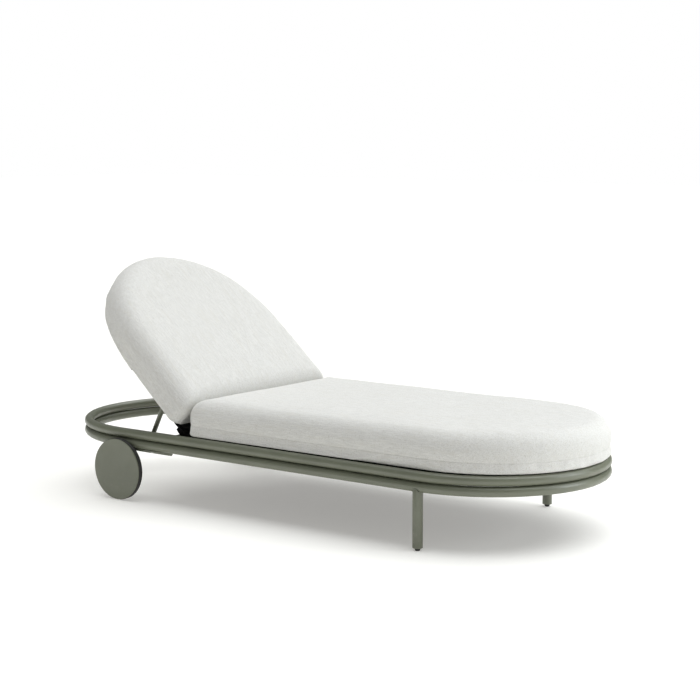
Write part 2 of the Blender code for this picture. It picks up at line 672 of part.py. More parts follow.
def make_hood(slide):
    """Pocket on the cushion's rear that slips over the top of the back hoop."""
    high = CUSHION_BASE_Z - PIVOT.z - GAP
    low = SEAT_HOOP_Z - PIVOT.z - PANEL_TUBE_R - HOOD_ROOM - HOOD_WALL
    middle = (high + low) / 2
    centre_x = -(RAIL_X + PIVOT.x) - HOOD_ROOM
    hem_x = centre_x + HOOD_HEM
    radius = PANEL_Y + PANEL_TUBE_R + HOOD_ROOM + HOOD_WALL
    hood = slab("back_hood", [hood_outline(hem_x, centre_x, radius)], high - low, FABRIC, slide,
                (0, 0, middle))
    past_hem = hem_x + HOOD_HEM
    room = slab("hood_room", [hood_outline(past_hem, centre_x, radius - HOOD_WALL)], high - low,
                FABRIC, slide, (0, 0, middle + HOOD_WALL))
    add_bevel(hood, HOOD_EDGE, 2)
    cut(hood, as_cutter(room))


# ---------------------------------------------------------------- assembly
def main():
    copes = make_rails()
    make_seat_base(copes)
    for label, side in SIDES:
        make_leg(label, side, copes[1])
        make_hinge(label, side)
        make_rack(label, side)
        make_axle(label, side)
        make_wheel(label, side)

    back = add_empty("back_pivot", PIVOT, tilt=BACK_ANGLE)
    slide = add_empty("cushion_slide", in_back(CUSHION_SLIDE, 0.0), back)
    make_back(back)
    for label, side in SIDES:
        make_back_fittings(label, side, back)
    make_stay(back)
    make_seat_cushion()
    make_back_cushion(slide)
    make_hood(slide)


main()
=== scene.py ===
"""Reclining sun lounger: materials, cushions, slings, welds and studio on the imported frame."""
import json
import math

import bmesh
import bpy
import numpy as np
from mathutils import Matrix, Vector
from mathutils.bvhtree import BVHTree


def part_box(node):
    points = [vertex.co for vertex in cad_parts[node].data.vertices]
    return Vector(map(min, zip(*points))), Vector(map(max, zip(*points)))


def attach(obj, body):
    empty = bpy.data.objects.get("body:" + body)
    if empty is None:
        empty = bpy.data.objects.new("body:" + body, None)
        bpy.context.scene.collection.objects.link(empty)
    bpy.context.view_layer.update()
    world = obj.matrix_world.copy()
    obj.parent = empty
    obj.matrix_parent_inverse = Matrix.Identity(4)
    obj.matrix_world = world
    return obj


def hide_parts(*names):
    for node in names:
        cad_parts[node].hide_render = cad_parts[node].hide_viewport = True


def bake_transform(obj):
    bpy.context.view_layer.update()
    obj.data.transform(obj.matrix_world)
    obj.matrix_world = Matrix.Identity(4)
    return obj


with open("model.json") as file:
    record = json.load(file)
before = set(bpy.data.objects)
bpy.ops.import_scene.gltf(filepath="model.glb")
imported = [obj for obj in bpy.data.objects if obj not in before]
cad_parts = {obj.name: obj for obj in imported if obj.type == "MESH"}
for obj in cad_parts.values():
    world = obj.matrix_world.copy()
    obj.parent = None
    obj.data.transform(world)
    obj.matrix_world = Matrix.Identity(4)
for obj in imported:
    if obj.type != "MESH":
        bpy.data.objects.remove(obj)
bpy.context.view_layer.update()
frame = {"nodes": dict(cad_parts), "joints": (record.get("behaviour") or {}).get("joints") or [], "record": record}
NODES = frame["nodes"]
SIDES = (("left", 1), ("right", -1))

CAMERA_AT = (3.4503, -4.4511, 1.2502)
CAMERA_LENS = 87.25          # mm, on a sensor 36 mm wide
CAMERA_PITCH = 0.1294        # radians below level
CAMERA_YAW = 0.6484

PAD_SHRINK = 0.009           # the blank is this much smaller than its solid, to leave room to swell
PAD_TOP_EDGE = 0.052
PAD_SWELL = 0.014            # the most that a point may move in the simulation
PAD_OVERFILL = 0.004
PAD_CROWN = 0.007
PAD_DEPARTURE = 0.20         # share of its departure from the solid that the pad's upper part keeps


# ---------------------------------------------------------------- camera, lights, floor
def make_camera():
    cam = bpy.data.cameras.new("camera")
    cam.sensor_width = 36.0
    cam.lens = CAMERA_LENS
    obj = bpy.data.objects.new("camera", cam)
    obj.location = CAMERA_AT
    obj.rotation_euler = (math.pi / 2 - CAMERA_PITCH, 0.0, CAMERA_YAW)
    bpy.context.scene.collection.objects.link(obj)
    bpy.context.scene.camera = obj


def make_area_light(name, location, target, size, power, colour=(1.0, 1.0, 1.0)):
    light = bpy.data.lights.new(name, "AREA")
    light.shape = "RECTANGLE"
    light.size, light.size_y = size
    light.energy = power
    light.color = colour
    obj = bpy.data.objects.new(name, light)
    obj.location = location
    aim = Vector(target) - Vector(location)
    obj.rotation_euler = aim.to_track_quat("-Z", "Y").to_euler()
    bpy.context.scene.collection.objects.link(obj)


def make_sky(strength):
    """An even white surround, dimmer as a light than as a backdrop."""
    world = bpy.data.worlds.new("studio")
    world.use_nodes = True
    tree = world.node_tree
    lit = tree.nodes["Background"]
    lit.inputs["Color"].default_value = (1.0, 1.0, 1.0, 1.0)
    lit.inputs["Strength"].default_value = strength
    seen = tree.nodes.new("ShaderNodeBackground")
    seen.inputs["Color"].default_value = (1.0, 1.0, 1.0, 1.0)
    path = tree.nodes.new("ShaderNodeLightPath")
    pick = tree.nodes.new("ShaderNodeMixShader")
    tree.links.new(path.outputs["Is Camera Ray"], pick.inputs[0])
    tree.links.new(lit.outputs[0], pick.inputs[1])
    tree.links.new(seen.outputs[0], pick.inputs[2])
    tree.links.new(pick.outputs[0], tree.nodes["World Output"].inputs["Surface"])
    bpy.context.scene.world = world


def make_soft_sun(direction, spread, strength, colour):
    """A wide, even light from above that reaches the whole floor alike."""
    light = bpy.data.lights.new("soft_sun", "SUN")
    light.angle = math.radians(spread)
    light.energy = strength
    light.color = colour
    obj = bpy.data.objects.new("soft_sun", light)
    obj.rotation_euler = Vector(direction).to_track_quat("-Z", "Y").to_euler()
    bpy.context.scene.collection.objects.link(obj)


def make_studio():
    scene = bpy.context.scene
    scene.view_settings.view_transform = "Standard"
    make_sky(0.21)
    make_soft_sun((-0.08, -0.28, -1.0), 76, 3.14, (0.965, 0.985, 1.0))
    make_area_light("foot_end", (2.9, 0.9, 1.0), (0.9, 0.0, 0.2), (1.0, 1.0), 20, (0.92, 0.97, 1.0))

    mesh = bpy.data.meshes.new("floor")
    reach = 30.0
    mesh.from_pydata([(-reach, -reach, 0), (reach, -reach, 0), (reach, reach, 0), (-reach, reach, 0)],
                     [], [(0, 1, 2, 3)])
    floor = bpy.data.objects.new("floor", mesh)
    scene.collection.objects.link(floor)
    build = Shader("pale_floor", (0.74, 0.735, 0.71), 0.9)
    build.bsdf.inputs["Specular IOR Level"].default_value = 0.1
    build.bsdf.inputs["Emission Color"].default_value = (1.0, 0.985, 0.95, 1.0)
    build.bsdf.inputs["Emission Strength"].default_value = 0.32
    build.surface(build.noise(build.coords, 90.0, 2.0), 0.0003)
    mesh.materials.append(build.mat)


# ---------------------------------------------------------------- procedural materials
class Shader:
    """Builds one node-based material around its Principled shader."""

    def __init__(self, name, colour, roughness, metallic=0.0):
        self.mat = bpy.data.materials.new(name)
        self.mat.use_nodes = True
        self.tree = self.mat.node_tree
        self.bsdf = self.tree.nodes["Principled BSDF"]
        self.base = colour
        self.bsdf.inputs["Base Color"].default_value = (*colour, 1.0)
        self.bsdf.inputs["Roughness"].default_value = roughness
        self.bsdf.inputs["Metallic"].default_value = metallic
        self.mat.diffuse_color = (*colour, 1.0)
        self.coords = self.add("ShaderNodeTexCoord").outputs["Object"]

    def add(self, kind, **settings):
        node = self.tree.nodes.new(kind)
        for key, value in settings.items():
            setattr(node, key, value)
        return node

    def feed(self, socket, value):
        if isinstance(value, bpy.types.NodeSocket):
            self.tree.links.new(value, socket)
        elif socket.type == "RGBA":
            socket.default_value = (*value, 1.0)
        else:
            socket.default_value = value

    def math(self, operation, a, b=0.0, c=0.0):
        node = self.add("ShaderNodeMath", operation=operation)
        for socket, value in zip(node.inputs, (a, b, c)):
            self.feed(socket, value)
        return node.outputs[0]

    def scaled(self, scale, turn=(0.0, 0.0, 0.0)):
        """Object coordinates turned, then stretched."""
        spun = self.add("ShaderNodeMapping")
        self.feed(spun.inputs["Vector"], self.coords)
        spun.inputs["Rotation"].default_value = turn
        node = self.add("ShaderNodeMapping")
        self.feed(node.inputs["Vector"], spun.outputs[0])
        node.inputs["Scale"].default_value = scale
        return node.outputs[0]

    def noise(self, vector, scale, detail=2.0, roughness=0.5):
        node = self.add("ShaderNodeTexNoise")
        self.feed(node.inputs["Vector"], vector)
        node.inputs["Scale"].default_value = scale
        node.inputs["Detail"].default_value = detail
        node.inputs["Roughness"].default_value = roughness
        return node.outputs["Fac"]

    def ramp(self, value, low, high, out_low=0.0, out_high=1.0):
        """Smooth step of a value between two limits."""
        node = self.add("ShaderNodeMapRange", interpolation_type="SMOOTHSTEP")
        for socket, v in zip(node.inputs, (value, low, high, out_low, out_high)):
            self.feed(socket, v)
        return node.outputs[0]

    def mix(self, factor, a, b):
        node = self.add("ShaderNodeMix", data_type="RGBA")
        self.feed(node.inputs["Factor"], factor)
        colours = [socket for socket in node.inputs if socket.type == "RGBA"]
        self.feed(colours[0], a)
        self.feed(colours[1], b)
        return [socket for socket in node.outputs if socket.type == "RGBA"][0]

    def shade(self, factor):
        """The base colour, darker or lighter by a factor."""
        return tuple(min(1.0, c * factor) for c in self.base)

    def colour(self, socket):
        self.feed(self.bsdf.inputs["Base Color"], socket)

    def rough(self, socket):
        self.feed(self.bsdf.inputs["Roughness"], socket)

    def surface(self, height, distance, strength=1.0):
        """Adds a bump on top of whatever bump is there already."""
        node = self.add("ShaderNodeBump")
        node.inputs["Strength"].default_value = strength
        node.inputs["Distance"].default_value = distance
        self.feed(node.inputs["Height"], height)
        linked = self.bsdf.inputs["Normal"].links
        if linked:
            self.feed(node.inputs["Normal"], linked[0].from_socket)
        self.feed(self.bsdf.inputs["Normal"], node.outputs[0])


def powder_coat(name, colour, roughness, gloss, dust_colour):
    """Fine orange peel, faint cloudiness, dust low down and slightly polished patches."""
    build = Shader(name, colour, roughness)
    build.bsdf.inputs["Specular IOR Level"].default_value = gloss
    cloud = build.ramp(build.noise(build.coords, 7.0, 4.0), 0.3, 0.7)
    tone = build.mix(cloud, build.shade(0.93), build.shade(1.07))
    speck = build.ramp(build.noise(build.coords, 420.0, 2.0), 0.62, 0.72, 0.0, 0.35)
    tone = build.mix(speck, tone, build.shade(0.82))
    height = build.add("ShaderNodeSeparateXYZ")
    build.feed(height.inputs[0], build.coords)
    dust = build.ramp(build.noise(build.coords, 55.0, 5.0, 0.7), 0.5, 0.75, 0.0, 0.30)
    low = build.ramp(height.outputs["Z"], 0.02, 0.14, 1.0, 0.12)
    tone = build.mix(build.math("MULTIPLY", dust, low), tone, dust_colour)
    build.colour(tone)
    build.rough(build.ramp(build.noise(build.coords, 30.0, 4.0), 0.3, 0.7, roughness - 0.05,
                           roughness + 0.07))
    build.surface(build.noise(build.coords, 900.0, 2.0), 0.00006)
    return build.mat


def moulded_plastic(name, colour, roughness):
    build = Shader(name, colour, roughness)
    grain = build.noise(build.coords, 1400.0, 2.0)
    cloud = build.noise(build.coords, 20.0, 3.0)
    build.colour(build.mix(cloud, build.shade(0.75), build.shade(1.4)))
    build.rough(build.ramp(cloud, 0.3, 0.7, roughness - 0.08, roughness + 0.08))
    build.surface(grain, 0.00008)
    return build.mat


def tyre_rubber():
    build = Shader("tyre_rubber", (0.030, 0.030, 0.028), 0.78)
    dust = build.ramp(build.noise(build.coords, 40.0, 6.0, 0.7), 0.45, 0.75, 0.0, 0.45)
    build.colour(build.mix(dust, build.base, (0.12, 0.11, 0.095)))
    build.rough(build.ramp(dust, 0.0, 0.4, 0.70, 0.9))
    split = build.add("ShaderNodeSeparateXYZ")
    build.feed(split.inputs[0], build.coords)
    ribs = build.math("SINE", build.math("MULTIPLY", split.outputs["Y"], 2 * math.pi / 0.0028))
    build.surface(ribs, 0.0003)
    build.surface(build.noise(build.coords, 600.0, 3.0), 0.00015)
    return build.mat


def sewing_thread():
    """Twisted off-white thread, a little darker than the cloth it holds."""
    build = Shader("thread", (0.66, 0.65, 0.60), 0.7)
    twist = build.noise(build.coords, 1500.0, 2.0)
    build.colour(build.mix(twist, build.shade(0.8), build.shade(1.1)))
    build.rough(build.ramp(twist, 0.3, 0.7, 0.6, 0.8))
    build.bsdf.inputs["Sheen Weight"].default_value = 0.2
    build.surface(twist, 0.0001)
    return build.mat


def brushed_steel():
    build = Shader("stainless", (0.56, 0.55, 0.53), 0.32, 1.0)
    brush = build.noise(build.scaled((900.0, 60.0, 900.0)), 1.0, 3.0)
    build.colour(build.mix(brush, build.shade(0.85), build.shade(1.1)))
    build.rough(build.ramp(brush, 0.3, 0.7, 0.24, 0.42))
    build.surface(brush, 0.00003)
    return build.mat


def cushion_fabric(name, seam_height):
    """Slubby off-white weave whose threads run along and across the pad's own X axis."""
    build = Shader(name + "_weave", (0.81, 0.805, 0.775), 0.94)
    split = build.add("ShaderNodeSeparateXYZ")
    build.feed(split.inputs[0], build.coords)
    wander = build.math("MULTIPLY", build.noise(build.coords, 35.0, 2.0), 0.004)
    across = build.math("SUBTRACT", build.math("ABSOLUTE", split.outputs["Y"]), split.outputs["Z"])
    pitch = 0.0021
    warp = build.math("SINE", build.math("MULTIPLY", build.math("ADD", across, wander),
                                         2 * math.pi / pitch))
    weft = build.math("SINE", build.math("MULTIPLY", build.math("ADD", split.outputs["X"], wander),
                                         2 * math.pi / (pitch * 1.25)))
    weave = build.math("MULTIPLY", warp, weft)
    slub_along = build.noise(build.scaled((34.0, 420.0, 420.0)), 1.0, 3.0, 0.6)
    slub_across = build.noise(build.scaled((460.0, 60.0, 60.0)), 1.0, 2.0, 0.6)
    speckle = build.noise(build.coords, 330.0, 3.0, 0.65)
    broad = build.noise(build.coords, 4.5, 3.0)
    streak = build.noise(build.scaled((9.0, 85.0, 85.0)), 1.0, 3.0, 0.6)
    tone = build.mix(build.ramp(slub_along, 0.34, 0.68), build.shade(0.90), build.shade(1.04))
    tone = build.mix(build.ramp(slub_across, 0.60, 0.75, 0.0, 0.40), tone, (0.86, 0.86, 0.845))
    tone = build.mix(build.ramp(speckle, 0.54, 0.66, 0.0, 0.72), tone, (0.58, 0.56, 0.50))
    tone = build.mix(build.ramp(weave, 0.2, 0.9, 0.0, 0.10), tone, (0.62, 0.61, 0.57))
    tone = build.mix(build.ramp(broad, 0.35, 0.7, 0.0, 0.10), tone, (0.72, 0.71, 0.67))
    tone = build.mix(build.ramp(streak, 0.48, 0.72, 0.0, 0.32), tone, (0.70, 0.68, 0.61))
    relief = build.math("ADD", build.math("MULTIPLY", weave, 0.25),
                        build.math("ADD", slub_along, build.math("MULTIPLY", slub_across, 0.5)))
    if seam_height is not None:
        off = build.math("ABSOLUTE", build.math("SUBTRACT", split.outputs["Z"], seam_height))
        # Mask of the seam line: it cuts a groove in the bump and puts painted shade in the colour.
        seam_groove_and_shade = build.ramp(off, 0.0003, 0.0018, 1.0, 0.0)
        seam_shade_weight = build.ramp(split.outputs["X"], 0.1, 0.8, 0.03, 0.13)
        # Painted shade: the cloth darkened along the seam line, weakly at the head end and more towards +X.
        tone = build.mix(build.math("MULTIPLY", seam_groove_and_shade, seam_shade_weight), tone, (0.40, 0.39, 0.35))
        relief = build.math("SUBTRACT", relief, build.math("MULTIPLY", seam_groove_and_shade, 0.8))
    build.colour(tone)
    build.rough(build.ramp(slub_along, 0.3, 0.7, 0.90, 0.98))
    build.bsdf.inputs["Sheen Weight"].default_value = 0.10
    build.bsdf.inputs["Sheen Roughness"].default_value = 0.5
    build.bsdf.inputs["Specular IOR Level"].default_value = 0.2
    build.surface(build.noise(build.coords, 60.0, 3.0), 0.0010)
    build.surface(speckle, 0.0012)
    build.surface(relief, 0.0008)
    return build.mat


def black_mesh():
    """Coated open sling cloth: a square grid of yarns with small dark holes."""
    build = Shader("black_sling", (0.006, 0.006, 0.006), 0.75)
    build.bsdf.inputs["Specular IOR Level"].default_value = 0.2
    split = build.add("ShaderNodeSeparateXYZ")
    build.feed(split.inputs[0], build.coords)
    pitch = 0.0022
    rows = []
    for axis in ("X", "Y"):
        wave = build.math("SINE", build.math("MULTIPLY", split.outputs[axis], 2 * math.pi / pitch))
        rows.append(wave)
    grid = build.math("MAXIMUM", rows[0], rows[1])
    fray = build.noise(build.coords, 300.0, 3.0)
    build.colour(build.mix(build.ramp(grid, -0.4, 0.6), (0.002, 0.002, 0.002), build.shade(1.6)))
    build.rough(build.ramp(fray, 0.3, 0.7, 0.65, 0.85))
    build.surface(build.math("ADD", grid, fray), 0.0004)
    return build.mat


MATERIALS = {
    "sage_paint": powder_coat("sage_paint", (0.148, 0.159, 0.109), 0.38, 0.85, (0.25, 0.24, 0.20)),
    "black_paint": powder_coat("black_paint", (0.004, 0.004, 0.004), 0.7, 0.12, (0.02, 0.02, 0.018)),
    "cushion_fabric": cushion_fabric("plain", None),
    "black_sling": black_mesh(),
    "tyre_rubber": tyre_rubber(),
    "nylon": moulded_plastic("nylon", (0.018, 0.018, 0.018), 0.55),
    "stainless": brushed_steel(),
}


def smooth_tree():
    """Geometry nodes that weld a node's faces and smooth all but its sharp edges."""
    tree = bpy.data.node_groups.new("smooth_shading", "GeometryNodeTree")
    tree.interface.new_socket("Geometry", in_out="INPUT", socket_type="NodeSocketGeometry")
    tree.interface.new_socket("Geometry", in_out="OUTPUT", socket_type="NodeSocketGeometry")
    add, link = tree.nodes.new, tree.links.new
    start, end = add("NodeGroupInput"), add("NodeGroupOutput")
    drop = add("GeometryNodeRemoveAttribute")
    drop.inputs["Name"].default_value = "custom_normal"
    weld = add("GeometryNodeMergeByDistance")
    weld.inputs["Distance"].default_value = 0.00002
    faces = add("GeometryNodeSetShadeSmooth")
    edges = add("GeometryNodeSetShadeSmooth")
    edges.domain = "EDGE"
    edges.inputs["Shade Smooth"].default_value = False
    angle = add("GeometryNodeInputMeshEdgeAngle")
    sharp = add("ShaderNodeMath")
    sharp.operation = "GREATER_THAN"
    sharp.inputs[1].default_value = math.radians(35)
    link(start.outputs[0], drop.inputs["Geometry"])
    link(drop.outputs[0], weld.inputs["Geometry"])
    link(weld.outputs[0], faces.inputs["Geometry"])
    link(faces.outputs[0], edges.inputs["Geometry"])
    link(angle.outputs["Unsigned Angle"], sharp.inputs[0])
    link(sharp.outputs[0], edges.inputs["Selection"])
    link(edges.outputs[0], end.inputs[0])
    return tree


def dress_frame():
    """Gives every CAD node its full material and smooth shading."""
    tree = smooth_tree()
    slots = {row["node"]: row["material_slot"] for row in frame["record"]["subparts"]}
    for name, obj in NODES.items():
        obj.data.materials.clear()
        obj.data.materials.append(MATERIALS[slots[name]])
        mod = obj.modifiers.new("smooth", "NODES")
        mod.node_group = tree


# ---------------------------------------------------------------- shared geometry
RECLINE = [joint for joint in frame["joints"] if joint["name"] == "back_recline"][0]
BACK_ANGLE = math.radians(-RECLINE["range_deg"][0])
BACK = Matrix.Translation(RECLINE["pos_m"]) @ Matrix.Rotation(BACK_ANGLE, 4, "Y")


def box_in(node, matrix):
    """A CAD node's lowest and highest corner in the axes of a matrix."""
    turn = matrix.inverted()
    points = [turn @ v.co for v in NODES[node].data.vertices]
    return (Vector([min(p[i] for p in points) for i in range(3)]),
            Vector([max(p[i] for p in points) for i in range(3)]))


def arc(cx, cy, radius, start, end, steps):
    points = []
    for i in range(steps + 1):
        a = math.radians(start + (end - start) * i / steps)
        points.append((cx + radius * math.cos(a), cy + radius * math.sin(a)))
    return points


def d_loop(flat_x, centre_x, radius, corner, steps=64, run=40):
    """Closed outline with a straight end at flat_x and a round end about centre_x."""
    way = 1 if centre_x > flat_x else -1
    length = abs(centre_x - flat_x)
    end = [(0.0, (corner - radius) * (2 * i / 20 - 1)) for i in range(1, 20)]
    near = arc(corner, corner - radius, corner, 180, 270, 8)
    side = [(corner + (length - corner) * i / run, -radius) for i in range(1, run)]
    bend = arc(length, 0.0, radius, -90, 90, steps)
    half = near + side
    loop = half + bend + [(x, -y) for x, y in reversed(half)] + end
    return [(flat_x + way * x, y) for x, y in loop]


def mesh_object(name, vertices, faces, matrix=Matrix.Identity(4)):
    mesh = bpy.data.meshes.new(name)
    mesh.from_pydata(vertices, [], faces)
    bm = bmesh.new()
    bm.from_mesh(mesh)
    bmesh.ops.remove_doubles(bm, verts=bm.verts, dist=0.00001)
    bmesh.ops.recalc_face_normals(bm, faces=bm.faces)
    bm.to_mesh(mesh)
    bm.free()
    mesh.shade_smooth()
    obj = bpy.data.objects.new(name, mesh)
    obj.matrix_world = matrix
    bpy.context.scene.collection.objects.link(obj)
    return obj


def smooth_step(value):
    value = min(1.0, max(0.0, value))
    return value * value * (3 - 2 * value)


def rings_to_faces(rows, count, closed=True):
    """Quads between consecutive rows of vertices, each row count long."""
    faces = []
    for r in range(rows - 1):
        for i in range(count if closed else count - 1):
            j = (i + 1) % count
            faces.append((r * count + i, r * count + j, (r + 1) * count + j, (r + 1) * count + i))
    return faces


def apply_modifiers(obj):
    """Bakes the object's modifiers into its mesh."""
    depsgraph = bpy.context.evaluated_depsgraph_get()
    mesh = bpy.data.meshes.new_from_object(obj.evaluated_get(depsgraph))
    mesh.name = obj.name
    obj.modifiers.clear()
    obj.data = mesh
    mesh.shade_smooth()


def coordinates(mesh):
    flat = np.empty(len(mesh.vertices) * 3, np.float64)
    mesh.vertices.foreach_get("co", flat)
    return flat.reshape(-1, 3)


def set_coordinates(mesh, points):
    mesh.vertices.foreach_set("co", points.astype(np.float32).ravel())
    mesh.update()


def finish_piece(obj, material, body):
    obj.data.materials.clear()
    obj.data.materials.append(material)
    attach(obj, body)
    return obj


# ---------------------------------------------------------------- cushions
def cushion_blank(name, low, high, matrix, round_towards, under, under_far, corner):
    """The pad before it is filled: a D-shaped block, a little small, its lower edge rounder afar."""
    radius = (high.y - low.y) / 2 - PAD_SHRINK
    if round_towards > 0:
        flat_x, centre_x = low.x + PAD_SHRINK, high.x - PAD_SHRINK - radius
    else:
        flat_x, centre_x = high.x - PAD_SHRINK, low.x + PAD_SHRINK + radius
    thickness = high.z - low.z - PAD_SHRINK
    section = [(under * (1 - math.sin(a)), under * (1 - math.cos(a)))
               for a in (math.radians(18 * i) for i in range(6))]
    section += [(PAD_TOP_EDGE * (1 - math.cos(a)), thickness - PAD_TOP_EDGE * (1 - math.sin(a)))
                for a in (math.radians(10 * i) for i in range(10))]
    vertices = []
    for number, (inset, z) in enumerate(section):
        extra = (under_far / under - 1.0) * inset if number < 6 else 0.0
        loops = [d_loop(flat_x + round_towards * i, centre_x, radius - i, max(corner - i, 0.003))
                 for i in (inset, inset + extra)]
        for (x, y), (far_x, far_y) in zip(*loops):
            far = smooth_step(1.25 * abs(x - flat_x) / (high.x - low.x) - 0.1)
            vertices.append((x + (far_x - x) * far, y + (far_y - y) * far, low.z + z))
    count = len(vertices) // len(section)
    faces = rings_to_faces(len(section), count)
    faces.append(tuple(range(count)))
    faces.append(tuple(range(len(vertices) - count, len(vertices))))
    return mesh_object(name, vertices, faces, matrix)


def fill_cushion(obj, base_z, voxel):
    """Remeshes the blank evenly and lets cloth under pressure swell it."""
    remesh = obj.modifiers.new("even", "REMESH")
    remesh.mode = "VOXEL"
    remesh.voxel_size = voxel
    apply_modifiers(obj)
    start = coordinates(obj.data)
    resting = obj.vertex_groups.new(name="resting")
    resting.add([i for i, z in enumerate(start[:, 2]) if z < base_z + 0.004], 1.0, "ADD")
    cloth = obj.modifiers.new("cloth", "CLOTH")
    settings = cloth.settings
    settings.quality = 4
    settings.use_pressure = True
    settings.uniform_pressure_force = 4.0
    settings.shrink_min = -0.012
    settings.shrink_max = -0.012
    settings.vertex_group_mass = "resting"
    settings.effector_weights.gravity = 0.0
    scene = bpy.context.scene
    for step in range(1, 21):
        scene.frame_set(step)
    depsgraph = bpy.context.evaluated_depsgraph_get()
    swollen = coordinates(obj.evaluated_get(depsgraph).data)
    obj.modifiers.clear()
    scene.frame_set(1)
    move = swollen - start
    length = np.linalg.norm(move, axis=1, keepdims=True)
    limited = PAD_SWELL * np.tanh(length / PAD_SWELL)
    set_coordinates(obj.data, start + move * limited / np.maximum(length, 1e-9))
    obj.vertex_groups.clear()


def fit_to(obj, low, high):
    """Scales the filled pad to the space its solid holds, with its top a little past it."""
    points = coordinates(obj.data)
    lo, hi = points.min(0), points.max(0)
    want_lo, want_hi = np.array(low), np.array(high) + np.array((0.0, 0.0, PAD_OVERFILL))
    points = want_lo + (points - lo) * (want_hi - want_lo) / (hi - lo)
    set_coordinates(obj.data, points)


def draw_to_solid(obj, node, matrix, low, high, fuller):
    """Draws the pad's upper part to its solid, crowns it, and widens it towards +X by a share."""
    turn = matrix.inverted()
    mesh = NODES[node].data
    solid = BVHTree.FromPolygons([turn @ v.co for v in mesh.vertices],
                                 [tuple(face.vertices) for face in mesh.polygons])
    points = coordinates(obj.data)
    for i, point in enumerate(points):
        rise = (point[2] - low.z) / (high.z - low.z)
        share = 1.0 - (1.0 - PAD_DEPARTURE) * smooth_step((rise - 0.15) / 0.4)
        nearest = np.array(solid.find_nearest(Vector(point))[0])
        points[i] = nearest + (point - nearest) * share
    middle_x, middle_y = (low.x + high.x) / 2, (low.y + high.y) / 2
    across = np.abs(points[:, 1] - middle_y) / (high.y - middle_y)
    length = np.abs(points[:, 0] - middle_x) / (high.x - middle_x)
    upper = np.clip((points[:, 2] - low.z) / (high.z - low.z) * 2 - 1, 0.0, 1.0)
    bulge = np.clip(1 - across ** 4, 0, 1) * np.clip(1 - length ** 4, 0, 1)
    points[:, 2] += PAD_CROWN * upper * bulge
    reach = np.clip(((points[:, 0] - low.x) / (high.x - low.x) - 0.3) / 0.5, 0.0, 1.0)
    points[:, 1] *= 1.0 + fuller * reach ** 2 * (3 - 2 * reach)
    set_coordinates(obj.data, points)


def soften(obj, low, seam_z):
    """Slow dents in the filling, and the boxing seam drawn in round the side."""
    normals = np.empty(len(obj.data.vertices) * 3)
    obj.data.vertices.foreach_get("normal", normals)
    normals = normals.reshape(-1, 3)
    points = coordinates(obj.data)
    x, y, z = points.T
    dents = (np.sin(9.1 * x + 1.3) * np.sin(7.7 * y + 0.4) + 0.6 * np.sin(17.0 * x + 11.0 * y + 2.1)
             + 0.4 * np.sin(29.0 * y - 13.0 * x + 37.0 * z))
    side = 1.0 - np.abs(normals[:, 2]) ** 2
    upper = np.clip(normals[:, 2], 0.0, 1.0)
    puckers = np.sin(95.0 * x + 3.0 * np.sin(31.0 * y)) * np.sin(88.0 * y + 2.0 * np.sin(27.0 * x))
    near_seam = np.exp(-((z - seam_z) / 0.012) ** 2) * side
    groove = np.exp(-((z - seam_z) / 0.0045) ** 2) * side
    push = 0.0006 * dents * (0.2 + 0.8 * upper) + 0.0003 * puckers * near_seam - 0.0012 * groove
    points = points + normals * push[:, None]
    points[:, 2] = np.maximum(points[:, 2], low.z)
    set_coordinates(obj.data, points)


def make_cushion(name, node, matrix, round_towards, body, voxel, under, corner, seam, fuller=0.0):
    """One pad, with the radii of its lower edge near and far from the joint and its seam's height."""
    low, high = box_in(node, matrix)
    obj = cushion_blank(name, low, high, matrix, round_towards, *under, corner)
    fill_cushion(obj, low.z, voxel)
    fit_to(obj, low, high)
    draw_to_solid(obj, node, matrix, low, high, fuller)
    subdivide = obj.modifiers.new("fine", "SUBSURF")
    subdivide.levels = subdivide.render_levels = 1
    apply_modifiers(obj)
    soften(obj, low, low.z + seam)
    finish_piece(obj, cushion_fabric(name, low.z + seam), body)
    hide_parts(node)
    return obj


# ---------------------------------------------------------------- sewn cloth
def cloth_from_rows(name, rows, thickness, matrix, closed=False):
    """A sheet through rows of points, then given its thickness to both sides."""
    vertices = [point for row in rows for point in row]
    faces = rings_to_faces(len(rows), len(rows[0]), closed)
    obj = mesh_object(name, vertices, faces, matrix)
    solid = obj.modifiers.new("thick", "SOLIDIFY")
    solid.thickness = thickness
    solid.offset = 0.0
    apply_modifiers(obj)
    return obj


def along(path, distance):
    """The point at a distance along a path."""
    for a, b in zip(path, path[1:]):
        step = (b - a).length
        if distance <= step:
            return a.lerp(b, distance / step)
        distance -= step
    return path[-1].copy()


def stitches(name, cloth, path, towards, material, body, pitch=0.0065):
    """A row of thread stitches on a cloth, found by looking towards it from a path in its axes."""
    path = [Vector(point) for point in path]
    towards = Vector(towards).normalized()
    total = sum((b - a).length for a, b in zip(path, path[1:]))
    tree = BVHTree.FromObject(cloth, bpy.context.evaluated_depsgraph_get())
    radius, sides = 0.0005, 6
    vertices, faces = [], []
    for i in range(int(total / pitch)):
        ends = [tree.ray_cast(along(path, (i + f) * pitch), towards)[0] for f in (0.12, 0.84)]
        if None in ends:
            continue
        way = (ends[1] - ends[0]).normalized()
        side = way.cross(towards).normalized()
        up = side.cross(way).normalized()
        if up.dot(towards) > 0:
            up = -up
        middle = (ends[0] + ends[1]) / 2
        first = len(vertices)
        for centre, size, lift in ((ends[0], 0.5, -0.4), (middle, 1.0, 0.5), (ends[1], 0.5, -0.4)):
            for k in range(sides):
                a = 2 * math.pi * k / sides
                spoke = side * math.cos(a) + up * (math.sin(a) + lift)
                vertices.append(centre + spoke * radius * size)
        for ring in range(2):
            for k in range(sides):
                a, b = first + ring * sides + k, first + ring * sides + (k + 1) % sides
                faces.append((a, b, b + sides, a + sides))
        faces.append(tuple(range(first, first + sides)))
        faces.append(tuple(range(first + 2 * sides, first + 3 * sides)))
    obj = mesh_object(name, vertices, faces, cloth.matrix_world)
    return finish_piece(obj, material, body)


